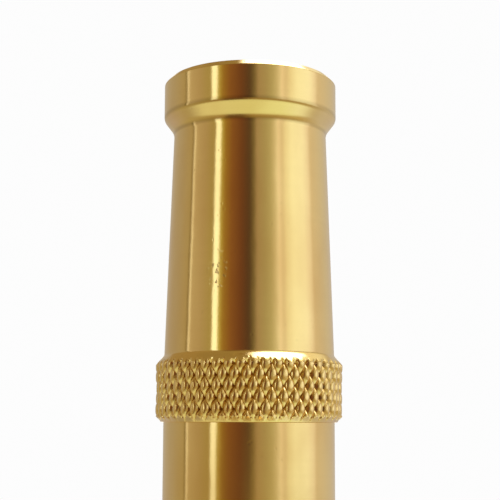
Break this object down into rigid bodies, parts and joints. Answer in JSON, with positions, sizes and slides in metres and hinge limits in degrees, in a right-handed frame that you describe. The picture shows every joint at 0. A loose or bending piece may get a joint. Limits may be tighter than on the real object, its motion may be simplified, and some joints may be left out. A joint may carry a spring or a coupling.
{
  "type": "twist hose nozzle",
  "caption": "Turned brass twist nozzle with a flared lip, diamond-knurled grip band and ball-race swivel hose coupling; turning the barrel opens the spray.",
  "frame": {"origin": "centre of the swivel coupling's rear face, on the nozzle's axis, where the object stands", "axes": "+Z along the nozzle's axis from the hose end to the spray lip; +X and +Y are across it and equivalent"},
  "size_m": [0.0334, 0.0334, 0.1016],
  "materials": {
    "barrel_brass": "bright turned brass with fine lathe marks and light wear",
    "stem_brass": "turned brass",
    "nut_brass": "turned and knurled brass",
    "black_rubber": "matt moulded rubber",
    "white_ptfe": "waxy white PTFE",
    "spring_steel": "plain spring steel",
    "stainless_steel": "plain stainless steel",
    "ball_steel": "polished bearing steel"
  },
  "bodies": {
    "stem": {"stem": "stem_brass", "valve_cone": "stem_brass", "cone_o_ring": "black_rubber"},
    "seal_carrier": {"backup_ring": "white_ptfe", "barrel_o_ring": "black_rubber"},
    "barrel": {"barrel": "barrel_brass", "stop_ring": "spring_steel"},
    "ball_set": {"race_ball_01": "ball_steel", "race_ball_02": "ball_steel", "race_ball_03": "ball_steel", "race_ball_04": "ball_steel", "race_ball_05": "ball_steel", "race_ball_06": "ball_steel", "race_ball_07": "ball_steel", "race_ball_08": "ball_steel", "race_ball_09": "ball_steel", "race_ball_10": "ball_steel", "race_ball_11": "ball_steel", "race_ball_12": "ball_steel", "race_ball_13": "ball_steel", "race_ball_14": "ball_steel", "race_ball_15": "ball_steel", "race_ball_16": "ball_steel", "race_ball_17": "ball_steel", "race_ball_18": "ball_steel", "race_ball_19": "ball_steel", "race_ball_20": "ball_steel", "race_ball_21": "ball_steel", "race_ball_22": "ball_steel"},
    "swivel_nut": {"swivel_nut": "nut_brass", "race_plug": "stainless_steel", "hose_washer": "black_rubber", "strainer": "stainless_steel"}
  },
  "joints": [
    {"name": "barrel_travel", "type": "slide", "parent": "stem", "child": "seal_carrier", "axis": [0, 0, 1], "range_m": [0, 0.005]},
    {"name": "barrel_turn", "type": "hinge", "parent": "seal_carrier", "child": "barrel", "pos_m": [0, 0, 0.0655], "axis": [0, 0, 1], "range_deg": [0, 720]},
    {"name": "nut_spin", "type": "hinge", "parent": "stem", "child": "swivel_nut", "pos_m": [0, 0, 0.0188], "axis": [0, 0, 1], "continuous": true},
    {"name": "ball_orbit", "type": "hinge", "parent": "stem", "child": "ball_set", "pos_m": [0, 0, 0.0188], "axis": [0, 0, 1], "continuous": true}
  ],
  "couplings": [
    {"joint": "barrel_turn", "follows": "barrel_travel", "rad_per_m": 2513.3},
    {"joint": "ball_orbit", "follows": "nut_spin", "ratio": 0.5676}
  ]
}
